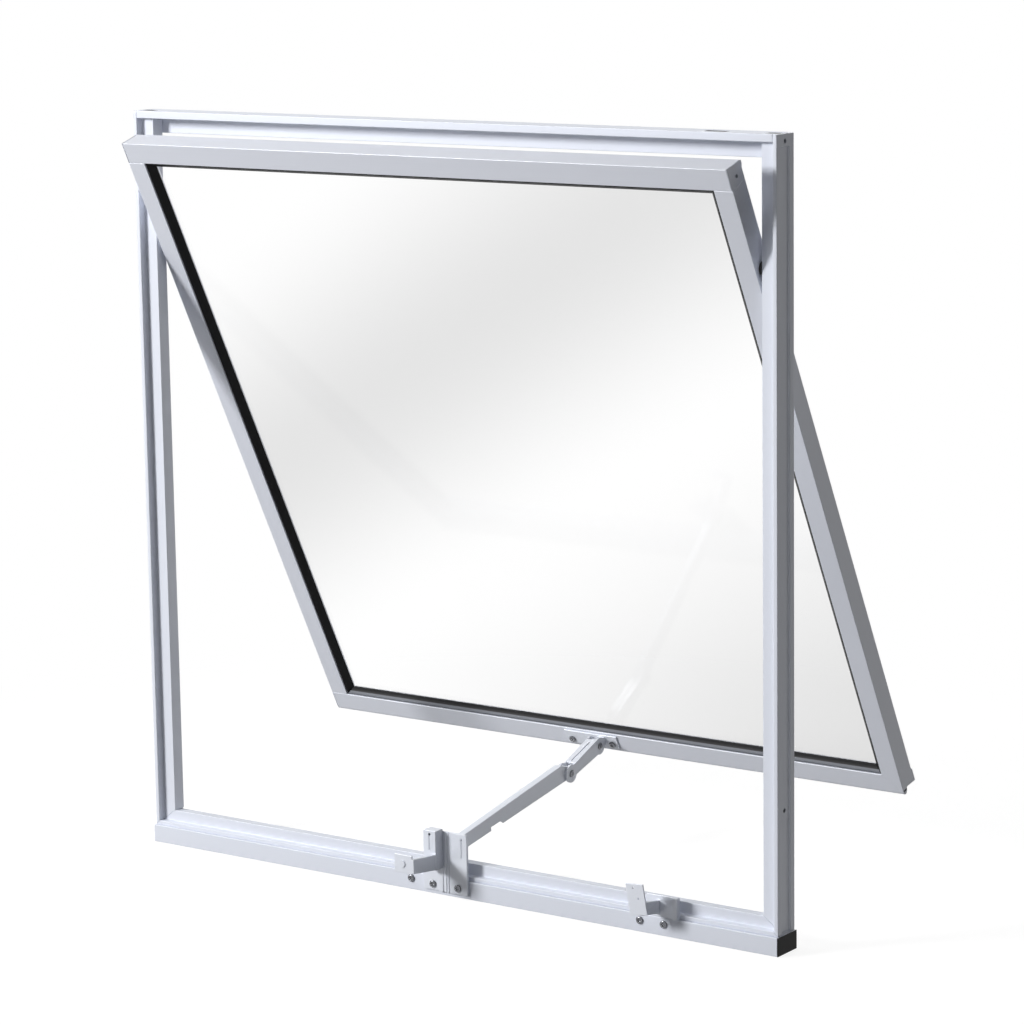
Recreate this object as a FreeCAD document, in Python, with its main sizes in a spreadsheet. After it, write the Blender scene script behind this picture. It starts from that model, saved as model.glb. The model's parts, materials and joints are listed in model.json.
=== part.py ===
"""Aluminium awning window, shown open: a fixed frame on a sub-sill, a glazed sash
that swings on two side pivots, a folding stay in the middle of the sill and two turn latches.

Frame: X runs left to right as seen from the room, Y points outdoors, Z up.
The origin is the middle of the sub-sill's flat underside, in the plane of the frame's room face.
Millimetres throughout.
"""
import FreeCAD, Part
import os
import re

import Sketcher

os.makedirs("parts", exist_ok=True)
doc = FreeCAD.newDocument("awning_window")

# Driving sizes, one named cell each
SIZES = [
    # fixed frame
    ("frame_w", 900.0), ("frame_tall", 885.0), ("frame_depth", 36.0), ("wall", 1.5),
    ("rim_w", 5.3), ("rim_depth", 8.5), ("stop_w", 18.7), ("stop_back", 25.5),
    ("recess_front", 8.0), ("recess_back", 27.0), ("recess_deep", 2.0), ("end_flat", 14.0),
    ("lip_tall", 8.7), ("leg_tall", 27.5),
    ("sill_stop", 13.8), ("sill_back", 12.0),
    ("slot_in", 85.5), ("slot_long", 30.0), ("slot_wide", 14.0), ("slot_y", 16.5),
    ("plug_down", 0.3), ("plug_tall", 3.0), ("plug_fit", 0.15),
    ("fix_r", 2.6), ("fix_y", 17.5), ("fix_low_z", 162.0), ("fix_top_drop", 8.0),
    # sub-sill
    ("sub_tall", 21.5), ("sub_front", 3.6), ("sub_back", 1.0), ("sub_over", 1.0),
    ("sub_wall", 1.6), ("cap_thick", 1.2), ("plug_deep", 12.0), ("plug_gap", 0.1), ("plug_wall", 2.0),
    # sash
    ("open_angle", 27.0), ("side_clear", 4.0), ("sash_less", 28.0), ("sash_depth", 27.5),
    ("stile_w", 24.5), ("top_rail_tall", 27.0), ("low_rail_tall", 22.3),
    ("nose_deep", 8.0), ("groove_deep", 8.0), ("bead_y", 18.0), ("bead_thick", 2.5), ("bead_drop", 6.0),
    ("rail_cap", 1.5), ("cap_hole_y", 14.0), ("cap_hole_z", 15.9), ("cap_hole_r", 2.2),
    ("top_slope", 5.0), ("top_back", 29.5), ("top_lip", 8.0),
    ("leg_drop", 6.2), ("leg_thick", 9.5), ("slit_w", 2.2), ("slit_deep", 8.0),
    ("tail_back", 29.5), ("tail_drop", 5.3), ("tail_up", 12.5), ("tail_in", 1.0),
    ("sash_wall", 1.5),
    # glass and gaskets
    ("glass_thick", 5.0), ("gasket_foot", 1.5), ("glass_gap", 2.0),
    ("gasket_out", 8.5), ("gasket_in", 6.0), ("gasket_lip", 1.5), ("gasket_edge", 2.0),
    ("rear_in", 2.0),
    # side pivots
    ("pivot_y", 17.0), ("pivot_down", 145.7), ("pivot_drop", 131.8), ("pivot_deep", 13.75),
    ("pivot_r", 4.0), ("pivot_gap", 0.05), ("collar_r", 8.0), ("pivot_in", 4.0),
    # folding stay
    ("base_w", 64.0), ("base_low", 5.0), ("base_top", 78.5), ("base_thick", 2.5), ("base_round", 4.0),
    ("pad_in", 6.5), ("pad_proud", 1.2), ("groove_x", 24.3), ("groove_w", 1.8), ("groove_low", 50.0),
    ("groove_top", 72.0), ("ear_thick", 2.0), ("ear_low", 40.0), ("ear_top", 62.0), ("ear_clear", 0.3),
    ("stay_y", 3.0), ("stay_z", 55.0), ("stay_pin_r", 3.0), ("stay_hole_gap", 0.05),
    ("fold_angle", 7.8), ("long_w", 10.0), ("long_wall", 1.6), ("long_start", 4.6),
    ("near_top", 8.0), ("near_low", 8.8), ("far_top", 15.8), ("far_low", 6.2),
    ("notch_at", 78.0), ("notch_long", 25.0), ("notch_deep", 5.5),
    ("short_len", 66.15), ("short_w", 16.0), ("short_wall", 2.5), ("short_slot", 1.6), ("short_end", 9.0),
    ("elbow_r", 11.2), ("sash_r", 10.7), ("short_near_top", 7.4), ("short_far_top", 10.4),
    ("short_near_low", 6.7), ("short_far_low", 8.0), ("side_gap", 0.4),
    ("sash_pin_out", 18.4), ("pin_up", 17.0), ("tongue_r", 8.0),
    ("pad_left", 55.0), ("pad_right", 22.5), ("pad_thick", 2.0), ("pad_top", 19.0), ("pad_low", 0.8),
    ("head_r", 4.4), ("head_thick", 1.6),
    # small screws
    ("screw_r", 2.0), ("screw_gap", 0.3), ("screw_head_r", 4.5), ("screw_head", 2.4), ("screw_long", 8.0),
    ("drive_r", 1.7), ("drive_deep", 1.2), ("drive_w", 0.9),
    ("base_screw_z", 12.5), ("base_screw_x", 18.4), ("pad_screw_left", 45.5), ("pad_screw_right", 14.0),
    ("pad_screw_up", 7.0),
    # left latch
    ("box_left", 20.3), ("box_right", 2.8), ("box_low", 34.0), ("box_top", 81.5), ("box_out", 15.0),
    ("box_wall", 2.0), ("box_groove_low", 58.0), ("box_hole_z", 77.0), ("arm_thick", 5.8), ("left_out", 43.0),
    ("left_back_low", 34.6), ("left_back_top", 53.2), ("left_front_low", 40.0), ("left_front_top", 57.5),
    ("latch_thick", 2.5), ("left_plate_w", 22.5), ("left_plate_low", 39.5), ("left_plate_top", 61.5),
    ("boss_x", 19.5), ("boss_z", 50.5), ("boss_r", 4.2), ("boss_thick", 1.2),
    ("latch_screw_z", 13.8), ("latch_screw_far", 52.0),
    # right latch
    ("latch_in", 159.0), ("foot_left", 11.4), ("foot_right", 24.2), ("foot_rib", 6.8), ("right_out", 3.4), ("right_tall", 25.5),
    ("right_arm_w", 6.0), ("right_arm_out", 32.4),
    ("right_back_low", 25.5), ("right_back_top", 40.8), ("right_front_low", 31.0), ("right_front_top", 46.2),
    ("plate_left", 2.7), ("right_plate_z", 49.5), ("right_plate_half_w", 11.6), ("right_plate_half", 18.2),
    ("right_lean", 3.0), ("right_skew", 1.6), ("right_hole_r", 1.3), ("right_hole_up", 12.5), ("right_hole_in", 3.0),
    ("screw_a_left", 20.8), ("screw_b_right", 11.2),
]

sheet = doc.addObject("Spreadsheet::Sheet", "Sizes")
for row, (name, number) in enumerate(SIZES, start=1):
    sheet.set("A%d" % row, name)
    sheet.set("B%d" % row, str(number))
    sheet.setAlias("B%d" % row, name)
doc.recompute()
WORDS = set(name for name, number in SIZES)


# Sizes that follow from the driving ones
WORKED = {
    "sash_w": "(frame_w - 2*rim_w - 2*stop_w - 2*side_clear)",
    "sash_tall": "(frame_tall - sash_less)",
    "slot_x": "(frame_w/2 - slot_in)",
    "pivot_z": "(sub_tall + frame_tall - pivot_down)",
    "sash_pin_z": "(frame_tall - sash_less - pin_up)",
    "latch_x": "(frame_w/2 - latch_in)",
}


def formula(text):
    """The same formula with worked sizes written out and each size word pointing at its cell."""
    for word, meaning in WORKED.items():
        text = re.sub(r"\b%s\b" % word, meaning, text)
    return re.sub(r"[A-Za-z_]\w*", lambda hit: "Sizes." + hit.group(0)
                  if hit.group(0) in WORDS else hit.group(0), text)


def number_of(text):
    """What a formula of size words comes to."""
    return float(sheet.evalExpression(formula(text)))


def new_body(label):
    """An empty body whose label names its file."""
    body = doc.addObject("PartDesign::Body", label)
    body.Label = label
    return body


def new_sketch(body, role, label, offset="0"):
    """A sketch on one of the body's own origin planes, moved along the plane's normal."""
    plane = [item for item in body.Origin.OriginFeatures if item.Role == role][0]
    sketch = body.newObject("Sketcher::SketchObject", body.Label + "_" + label)
    sketch.AttachmentSupport = [(plane, "")]
    sketch.MapMode = "FlatFace"
    sketch.setExpression("AttachmentOffset.Base.z", formula(offset))
    return sketch


def pin_point(sketch, geometry, end, across, up):
    """Tie one end of a piece of geometry to its place across and up from the sketch's origin."""
    for kind, text in (("DistanceX", across), ("DistanceY", up)):
        index = sketch.addConstraint(Sketcher.Constraint(kind, -1, 1, geometry, end, number_of(text)))
        sketch.setExpression("Constraints[%d]" % index, formula(text))


def outline(sketch, points):
    """Straight edges through the given points, closed, every corner tied to its sizes."""
    spots = [FreeCAD.Vector(number_of(across), number_of(up), 0) for across, up in points]
    first = sketch.GeometryCount
    count = len(points)
    for index in range(count):
        edge = Part.LineSegment(spots[index], spots[(index + 1) % count])
        sketch.addGeometry(edge, False)
    for index in range(count):
        after = first + (index + 1) % count
        sketch.addConstraint(Sketcher.Constraint("Coincident", first + index, 2, after, 1))
    for index, (across, up) in enumerate(points):
        pin_point(sketch, first + index, 1, across, up)


def block(sketch, low_x, low_y, high_x, high_y):
    """A rectangle between two corners."""
    outline(sketch, [(low_x, low_y), (high_x, low_y), (high_x, high_y), (low_x, high_y)])


def ring(sketch, across, up, radius):
    """A circle with its centre and radius tied to their sizes."""
    centre = FreeCAD.Vector(number_of(across), number_of(up), 0)
    index = sketch.addGeometry(Part.Circle(centre, FreeCAD.Vector(0, 0, 1), number_of(radius)), False)
    pin_point(sketch, index, 3, across, up)
    place = sketch.addConstraint(Sketcher.Constraint("Radius", index, number_of(radius)))
    sketch.setExpression("Constraints[%d]" % place, formula(radius))


def pad(body, sketch, length, backwards=False):
    """Push the sketch out along its normal."""
    feature = body.newObject("PartDesign::Pad", sketch.Label + "_pad")
    feature.Profile = sketch
    feature.setExpression("Length", formula(length))
    feature.Reversed = backwards
    body.Tip = feature
    return feature


def cut(body, sketch, length, along_normal=False):
    """Cut the sketch into the body, against its normal unless told otherwise."""
    feature = body.newObject("PartDesign::Pocket", sketch.Label + "_cut")
    feature.Profile = sketch
    feature.setExpression("Length", formula(length))
    feature.Reversed = along_normal
    body.Tip = feature
    return feature


def place(body, across="0", out="0", up="0"):
    """Move a body to its place in the window."""
    body.setExpression("Placement.Base.x", formula(across))
    body.setExpression("Placement.Base.y", formula(out))
    body.setExpression("Placement.Base.z", formula(up))


def tilt(body, angle, across, out, up):
    """Turn a body about X and move it to its place."""
    body.Placement = FreeCAD.Placement(FreeCAD.Vector(0, 0, 0), FreeCAD.Rotation(FreeCAD.Vector(1, 0, 0), 10))
    body.setExpression("Placement.Rotation.Angle", formula(angle))
    place(body, across, out, up)


# The sash's own frame has its origin at the middle of its top front edge, Y through its thickness
SASH_Y = "(pivot_y - pivot_deep*cos(open_angle) - pivot_drop*sin(open_angle))"
SASH_Z = "(pivot_z - pivot_deep*sin(open_angle) + pivot_drop*cos(open_angle))"


def on_sash(body):
    """Put a body that was drawn in the sash's frame where the open sash is."""
    tilt(body, "open_angle", "0", SASH_Y, SASH_Z)


def mirrored(side, text):
    """A distance in from the frame's outer side, for the left (+1) or right (-1) piece."""
    return "(%s)" % text if side > 0 else "-(%s)" % text


SIDES = (("left", 1), ("right", -1))
FACE_W = "(rim_w + stop_w)"

# Jambs: a hollow stop box with a thin front rim and a back flange, mitred to the sill at the foot
for side_name, side in SIDES:
    jamb = new_body("frame_jamb_" + side_name)

    def at(text, sign=side):
        return mirrored(sign, text)

    section = new_sketch(jamb, "XY_Plane", "section")
    outline(section, [(at("0"), "0"), (at("rim_w"), "0"), (at("rim_w"), "rim_depth"),
                      (at(FACE_W), "rim_depth"), (at(FACE_W), "stop_back"), (at("rim_w"), "stop_back"),
                      (at("rim_w"), "frame_depth"), (at("0"), "frame_depth")])
    block(section, at("recess_deep + wall"), "rim_depth + wall", at(FACE_W + " - wall"), "stop_back - wall")
    pad(jamb, section, "frame_tall")
    recess = new_sketch(jamb, "XY_Plane", "recess")
    block(recess, at("-1"), "recess_front", at("recess_deep"), "recess_back")
    cut(jamb, recess, "frame_tall - end_flat", along_normal=True)
    mitre = new_sketch(jamb, "XZ_Plane", "mitre", "1")
    outline(mitre, [(at("-1"), "-1"), (at(FACE_W + " + 1"), "-1"), (at(FACE_W + " + 1"), "rim_w + sill_stop"),
                    (at(FACE_W), "rim_w + sill_stop"), (at("rim_w"), "rim_w")])
    cut(jamb, mitre, "frame_depth + 2")
    pivot = new_sketch(jamb, "YZ_Plane", "pivot", at(FACE_W + " + 1"))
    ring(pivot, "pivot_y", "pivot_z - sub_tall", "pivot_r + pivot_gap")
    cut(jamb, pivot, "wall + 2", along_normal=side < 0)
    fixings = new_sketch(jamb, "YZ_Plane", "fixings", at("-1"))
    ring(fixings, "fix_y", "fix_low_z - sub_tall", "fix_r")
    ring(fixings, "fix_y", "frame_tall - fix_top_drop", "fix_r")
    cut(jamb, fixings, "1 + recess_deep + wall + 1", along_normal=side > 0)
    place(jamb, "-frame_w/2" if side > 0 else "frame_w/2", "0", "sub_tall")

# Sill: a lower stop whose top falls to the outside, mitred to both jambs
sill = new_body("frame_sill")
section = new_sketch(sill, "YZ_Plane", "section", "-frame_w/2")
outline(section, [("0", "0"), ("frame_depth", "0"), ("frame_depth", "rim_w"), ("stop_back", "rim_w"),
                  ("stop_back", "rim_w + sill_back"), ("rim_depth", "rim_w + sill_stop"), ("rim_depth", "rim_w"),
                  ("0", "rim_w")])
block(section, "rim_depth + wall", "recess_deep + wall", "stop_back - wall", "rim_w + sill_back - wall")
pad(sill, section, "frame_w")
mitre = new_sketch(sill, "XZ_Plane", "mitre", "1")
for hand in ("-", ""):
    outline(mitre, [(hand + "(frame_w/2 + 1)", "-1"), (hand + "(frame_w/2 - rim_w)", "rim_w"),
                    (hand + "(frame_w/2 - %s)" % FACE_W, "rim_w + sill_stop"),
                    (hand + "(frame_w/2 - %s)" % FACE_W, FACE_W + " + 1"),
                    (hand + "(frame_w/2 + 1)", FACE_W + " + 1")])
cut(sill, mitre, "frame_depth + 2")
place(sill, "0", "0", "sub_tall")

# Head: a shallow box with a deep leg at the back, coped round the jambs' stop boxes
head = new_body("frame_head")
section = new_sketch(head, "YZ_Plane", "section", "-frame_w/2 + rim_w")
outline(section, [("0", "0"), ("0", "-lip_tall"), ("stop_back", "-lip_tall"), ("stop_back", "-leg_tall"),
                  ("frame_depth", "-leg_tall"), ("frame_depth", "0")])
block(section, "wall", "-lip_tall + wall", "stop_back", "-wall")
block(section, "stop_back + wall", "-leg_tall + wall", "frame_depth - wall", "-wall")
pad(head, section, "frame_w - 2*rim_w")
cope = new_sketch(head, "XY_Plane", "cope", "1")
block(cope, "-frame_w/2", "rim_depth", "-frame_w/2 + " + FACE_W, "stop_back")
block(cope, "frame_w/2 - " + FACE_W, "rim_depth", "frame_w/2", "stop_back")
cut(head, cope, "leg_tall + 2")
slot = new_sketch(head, "XY_Plane", "slot", "1")
block(slot, "slot_x - slot_long/2", "slot_y - slot_wide/2", "slot_x + slot_long/2", "slot_y + slot_wide/2")
cut(head, slot, "1 + 2*wall")
place(head, "0", "0", "sub_tall + frame_tall")

# Black plugs in the slot of the head and in the open tops of the jambs
slot_plug = new_body("head_slot_plug")
face = new_sketch(slot_plug, "XY_Plane", "face", "-plug_down - plug_tall")
block(face, "slot_x - slot_long/2 + plug_fit", "slot_y - slot_wide/2 + plug_fit",
      "slot_x + slot_long/2 - plug_fit", "slot_y + slot_wide/2 - plug_fit")
pad(slot_plug, face, "plug_tall")
place(slot_plug, "0", "0", "sub_tall + frame_tall")
for side_name, side in SIDES:
    plug_body = new_body("jamb_plug_" + side_name)
    face = new_sketch(plug_body, "XY_Plane", "face", "-plug_down - plug_tall")
    block(face, mirrored(side, "recess_deep + wall + plug_fit"), "rim_depth + wall + plug_fit",
          mirrored(side, FACE_W + " - wall - plug_fit"), "stop_back - wall - plug_fit")
    pad(plug_body, face, "plug_tall")
    place(plug_body, "-frame_w/2" if side > 0 else "frame_w/2", "0", "sub_tall + frame_tall")

# Sub-sill: a rectangular tube a little deeper than the frame, with black end caps
sub = new_body("sub_sill")
section = new_sketch(sub, "YZ_Plane", "section", "-frame_w/2 - sub_over")
block(section, "-sub_front", "0", "frame_depth + sub_back", "sub_tall")
block(section, "-sub_front + sub_wall", "sub_wall", "frame_depth + sub_back - sub_wall", "sub_tall - sub_wall")
pad(sub, section, "frame_w + 2*sub_over")
pilots = new_sketch(sub, "XZ_Plane", "pilots", "sub_front + 1")
ring(pilots, "-base_screw_x", "base_screw_z", "screw_r")
ring(pilots, "base_screw_x", "base_screw_z", "screw_r")
ring(pilots, "-latch_screw_far", "latch_screw_z", "screw_r")
ring(pilots, "latch_x - screw_a_left", "latch_screw_z", "screw_r")
ring(pilots, "latch_x + screw_b_right", "latch_screw_z", "screw_r")
cut(sub, pilots, "sub_wall + 3")

for side_name, side in SIDES:
    cap = new_body("end_cap_" + side_name)
    ends = "-frame_w/2 - sub_over" if side > 0 else "frame_w/2 + sub_over"
    inset = "(sub_wall + plug_gap)" if side > 0 else "0"
    plate = new_sketch(cap, "YZ_Plane", "plate", ends)
    block(plate, "-sub_front + " + inset, inset, "frame_depth + sub_back - " + inset, "sub_tall - " + inset)
    pad(cap, plate, "cap_thick")
    plug = new_sketch(cap, "YZ_Plane", "plug", ends)
    block(plug, "-sub_front + sub_wall + plug_gap", "sub_wall + plug_gap",
          "frame_depth + sub_back - sub_wall - plug_gap", "sub_tall - sub_wall - plug_gap")
    block(plug, "-sub_front + sub_wall + plug_gap + plug_wall", "sub_wall + plug_gap + plug_wall",
          "frame_depth + sub_back - sub_wall - plug_gap - plug_wall", "sub_tall - sub_wall - plug_gap - plug_wall")
    pad(cap, plug, "plug_deep", backwards=side < 0)

# Sash stiles: hollow, with a glazing groove on the inner side, between the two rails
GROOVE_X = "(stile_w - groove_deep)"
for side_name, side in SIDES:
    stile = new_body("sash_stile_" + side_name)
    outer = "-sash_w/2 + " if side > 0 else "sash_w/2 - "

    def across(text, start=outer):
        return start + "(%s)" % text

    foot = "(sash_tall - low_rail_tall)" if side > 0 else "sash_tall"
    section = new_sketch(stile, "XY_Plane", "section", "-" + foot)
    outline(section, [(across("0"), "0"), (across("stile_w"), "0"), (across("stile_w"), "nose_deep"),
                      (across(GROOVE_X), "nose_deep"), (across(GROOVE_X), "bead_y"),
                      (across("stile_w"), "bead_y"), (across("stile_w"), "bead_y + bead_thick"),
                      (across("stile_w - bead_drop"), "sash_depth"), (across("0"), "sash_depth")])
    block(section, across("sash_wall"), "sash_wall", across(GROOVE_X + " - sash_wall"), "sash_depth - sash_wall")
    block(section, across(GROOVE_X), "sash_wall", across("stile_w - sash_wall"), "nose_deep - sash_wall")
    pad(stile, section, foot + " - top_rail_tall")
    if side < 0:
        mitre = new_sketch(stile, "XZ_Plane", "mitre", "1")
        outline(mitre, [("sash_w/2 - stile_w - 1", "-sash_tall - 1"), ("sash_w/2", "-sash_tall - 1"),
                        ("sash_w/2", "-sash_tall"), ("sash_w/2 - stile_w", "-(sash_tall - low_rail_tall)"),
                        ("sash_w/2 - stile_w - 1", "-(sash_tall - low_rail_tall)")])
        cut(stile, mitre, "sash_depth + 2")
    pivot = new_sketch(stile, "YZ_Plane", "pivot", across("-1"))
    ring(pivot, "pivot_deep", "-pivot_drop", "pivot_r + pivot_gap")
    cut(stile, pivot, "sash_wall + 2", along_normal=side > 0)
    on_sash(stile)

# Sash top rail: a sloping top, a small lip at the back and the glazing groove underneath
top_rail = new_body("sash_top_rail")
section = new_sketch(top_rail, "YZ_Plane", "section", "-sash_w/2 + rail_cap")
outline(section, [("0", "0"), ("0", "-top_rail_tall"), ("nose_deep", "-top_rail_tall"),
                  ("nose_deep", "-(top_rail_tall - groove_deep)"), ("bead_y", "-(top_rail_tall - groove_deep)"),
                  ("bead_y", "-top_rail_tall"), ("sash_depth", "-top_rail_tall"),
                  ("sash_depth", "-(top_slope + top_lip)"), ("top_back", "-(top_slope + top_lip/2)"),
                  ("top_back", "-top_slope")])
block(section, "sash_wall", "-(top_rail_tall - groove_deep - sash_wall)", "sash_depth - sash_wall",
      "-(top_slope + sash_wall)")
block(section, "sash_wall", "-(top_rail_tall - sash_wall)", "nose_deep - sash_wall", "-(top_rail_tall - groove_deep)")
block(section, "bead_y + sash_wall", "-(top_rail_tall - sash_wall)", "sash_depth - sash_wall",
      "-(top_rail_tall - groove_deep)")
pad(top_rail, section, "sash_w - 2*rail_cap")
on_sash(top_rail)

# Flat end caps of the top rail, each with its screw hole
for side_name, start in (("left", "-sash_w/2"), ("right", "sash_w/2 - rail_cap")):
    rail_end = new_body("sash_top_cap_" + side_name)
    face = new_sketch(rail_end, "YZ_Plane", "face", start)
    outline(face, [("0", "0"), ("0", "-top_rail_tall"), ("sash_depth", "-top_rail_tall"),
                   ("sash_depth", "-(top_slope + top_lip)"), ("top_back", "-(top_slope + top_lip/2)"),
                   ("top_back", "-top_slope")])
    ring(face, "cap_hole_y", "-cap_hole_z", "cap_hole_r")
    pad(rail_end, face, "rail_cap")
    on_sash(rail_end)

# Sash bottom rail: a rounded front leg, a drip slit behind it and a sloping tail
LOW = "-sash_tall"
TOP_OF_LOW = "-(sash_tall - low_rail_tall)"
LOW_OUTLINE = [("0", TOP_OF_LOW), ("0", LOW), ("leg_thick*0.12", LOW + " - leg_drop*0.7"),
               ("leg_thick*0.35", LOW + " - leg_drop"), ("leg_thick*0.65", LOW + " - leg_drop"),
               ("leg_thick*0.92", LOW + " - leg_drop*0.6"), ("leg_thick", LOW), ("leg_thick", LOW + " + slit_deep"),
               ("leg_thick + slit_w", LOW + " + slit_deep"), ("leg_thick + slit_w", LOW),
               ("tail_back", LOW + " - tail_drop"), ("tail_back", LOW + " + tail_up"),
               ("sash_depth", LOW + " + tail_up + tail_in")]
low_rail = new_body("sash_bottom_rail")
section = new_sketch(low_rail, "YZ_Plane", "section", "-sash_w/2 + rail_cap")
outline(section, LOW_OUTLINE + [("sash_depth", TOP_OF_LOW + " - bead_drop"), ("bead_y + bead_thick", TOP_OF_LOW),
                                ("bead_y", TOP_OF_LOW), ("bead_y", TOP_OF_LOW + " - groove_deep"),
                                ("nose_deep", TOP_OF_LOW + " - groove_deep"), ("nose_deep", TOP_OF_LOW)])
block(section, "sash_wall", TOP_OF_LOW + " - groove_deep - sash_wall", "leg_thick - sash_wall", LOW + " - sash_wall")
block(section, "leg_thick + slit_w + sash_wall", TOP_OF_LOW + " - groove_deep - sash_wall",
      "tail_back - sash_wall - tail_in - sash_wall", LOW + " + sash_wall")
pad(low_rail, section, "sash_w - rail_cap")
mitre = new_sketch(low_rail, "XZ_Plane", "mitre", "1")
outline(mitre, [("sash_w/2 - stile_w", TOP_OF_LOW), ("sash_w/2", LOW), ("sash_w/2 + 1", LOW),
                ("sash_w/2 + 1", TOP_OF_LOW + " + 1"), ("sash_w/2 - stile_w", TOP_OF_LOW + " + 1")])
cut(low_rail, mitre, "1 + sash_depth")
pilots = new_sketch(low_rail, "XZ_Plane", "pilots", "1")
ring(pilots, "-pad_screw_left", LOW + " + pad_screw_up", "screw_r")
ring(pilots, "pad_screw_right", LOW + " + pad_screw_up", "screw_r")
cut(low_rail, pilots, "1 + sash_wall + 1")
on_sash(low_rail)

low_cap = new_body("sash_low_cap_left")
face = new_sketch(low_cap, "YZ_Plane", "face", "-sash_w/2")
outline(face, LOW_OUTLINE + [("sash_depth", TOP_OF_LOW)])
pad(low_cap, face, "rail_cap")
on_sash(low_cap)

# Glass pane in the four grooves
GLASS_Y = "(nose_deep + gasket_foot)"
SIDE_IN = "(sash_w/2 - stile_w)"
glass = new_body("glass_pane")
sheet_face = new_sketch(glass, "XZ_Plane", "face", "-" + GLASS_Y)
block(sheet_face, "-(%s + groove_deep - glass_gap)" % SIDE_IN, TOP_OF_LOW + " - groove_deep + glass_gap",
      "%s + groove_deep - glass_gap" % SIDE_IN, "-(top_rail_tall - groove_deep + glass_gap)")
pad(glass, sheet_face, "glass_thick", backwards=True)
on_sash(glass)


def lip_section(sketch, point):
    """The glazing strip's section: a foot in the groove and a wedge that runs out onto the glass."""
    outline(sketch, [point("0", "gasket_lip"), point("gasket_edge", "gasket_lip"),
                     point("gasket_out*0.5", "nose_deep*0.62"), point("gasket_out", GLASS_Y + " - gasket_lip"),
                     point("gasket_out", GLASS_Y), point("-gasket_in", GLASS_Y), point("-gasket_in", "nose_deep"),
                     point("0", "nose_deep")])


for side_name, side in SIDES:
    strip = new_body("gasket_" + side_name)
    start = "-%s + " % SIDE_IN if side > 0 else "%s - " % SIDE_IN
    section = new_sketch(strip, "XY_Plane", "section", TOP_OF_LOW + " - gasket_in")
    lip_section(section, lambda inward, deep, start=start: (start + "(%s)" % inward, deep))
    pad(strip, section, "sash_tall - low_rail_tall - top_rail_tall + 2*gasket_in")
    mitre = new_sketch(strip, "XZ_Plane", "mitre", "0")
    outline(mitre, [(start + "(-gasket_in - 1)", "-top_rail_tall + gasket_in + 1"),
                    (start + "(gasket_out + 1)", "-top_rail_tall + gasket_in + 1"),
                    (start + "(gasket_out + 1)", "-top_rail_tall - gasket_out - 1")])
    outline(mitre, [(start + "(-gasket_in - 1)", TOP_OF_LOW + " - gasket_in - 1"),
                    (start + "(gasket_out + 1)", TOP_OF_LOW + " - gasket_in - 1"),
                    (start + "(gasket_out + 1)", TOP_OF_LOW + " + gasket_out + 1")])
    cut(strip, mitre, "nose_deep + gasket_foot + 2")
    on_sash(strip)

for side_name, start, sign in (("top", "-top_rail_tall", "-"), ("bottom", TOP_OF_LOW, "+")):
    strip = new_body("gasket_" + side_name)
    section = new_sketch(strip, "YZ_Plane", "section", "-(%s + gasket_in)" % SIDE_IN)
    lip_section(section, lambda inward, deep, start=start, sign=sign: (deep, "%s %s (%s)" % (start, sign, inward)))
    pad(strip, section, "2*(%s + gasket_in)" % SIDE_IN)
    mitre = new_sketch(strip, "XZ_Plane", "mitre", "0")
    for hand in ("-", ""):
        outline(mitre, [("%s(%s + gasket_in + 1)" % (hand, SIDE_IN), "%s %s (-gasket_in - 1)" % (start, sign)),
                        ("%s(%s + gasket_in + 1)" % (hand, SIDE_IN), "%s %s (gasket_out + 1)" % (start, sign)),
                        ("%s(%s - gasket_out - 1)" % (hand, SIDE_IN), "%s %s (gasket_out + 1)" % (start, sign))])
    cut(strip, mitre, "nose_deep + gasket_foot + 2")
    on_sash(strip)

# Rear glazing gasket: one flat frame between the pane and the back beads
rear = new_body("gasket_rear")
REAR_Y = "(%s + glass_thick)" % GLASS_Y
face = new_sketch(rear, "XZ_Plane", "face", "-" + REAR_Y)
block(face, "-(%s + gasket_in)" % SIDE_IN, TOP_OF_LOW + " - gasket_in", "%s + gasket_in" % SIDE_IN,
      "-top_rail_tall + gasket_in")
block(face, "-(%s - rear_in)" % SIDE_IN, TOP_OF_LOW + " + rear_in", "%s - rear_in" % SIDE_IN,
      "-top_rail_tall - rear_in")
pad(rear, face, "bead_y - %s" % REAR_Y, backwards=True)
on_sash(rear)

# Side pivots: a pin through the jamb's inner wall and the stile's outer wall, with a spacing collar
SIDE_GAP = "(frame_w/2 - %s - sash_w/2)" % FACE_W
for side_name, side in SIDES:
    pivot_pin = new_body("pivot_pin_" + side_name)
    sign = "-" if side > 0 else ""
    pin = new_sketch(pivot_pin, "YZ_Plane", "pin", "%s(sash_w/2 - sash_wall - pivot_in)" % sign)
    ring(pin, "0", "0", "pivot_r")
    pad(pivot_pin, pin, "%s + sash_wall + wall + 2*pivot_in" % SIDE_GAP, backwards=side > 0)
    collar = new_sketch(pivot_pin, "YZ_Plane", "collar", "%s(sash_w/2)" % sign)
    ring(collar, "0", "0", "collar_r")
    pad(pivot_pin, collar, SIDE_GAP, backwards=side > 0)
    place(pivot_pin, "0", "pivot_y", "pivot_z")

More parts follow.
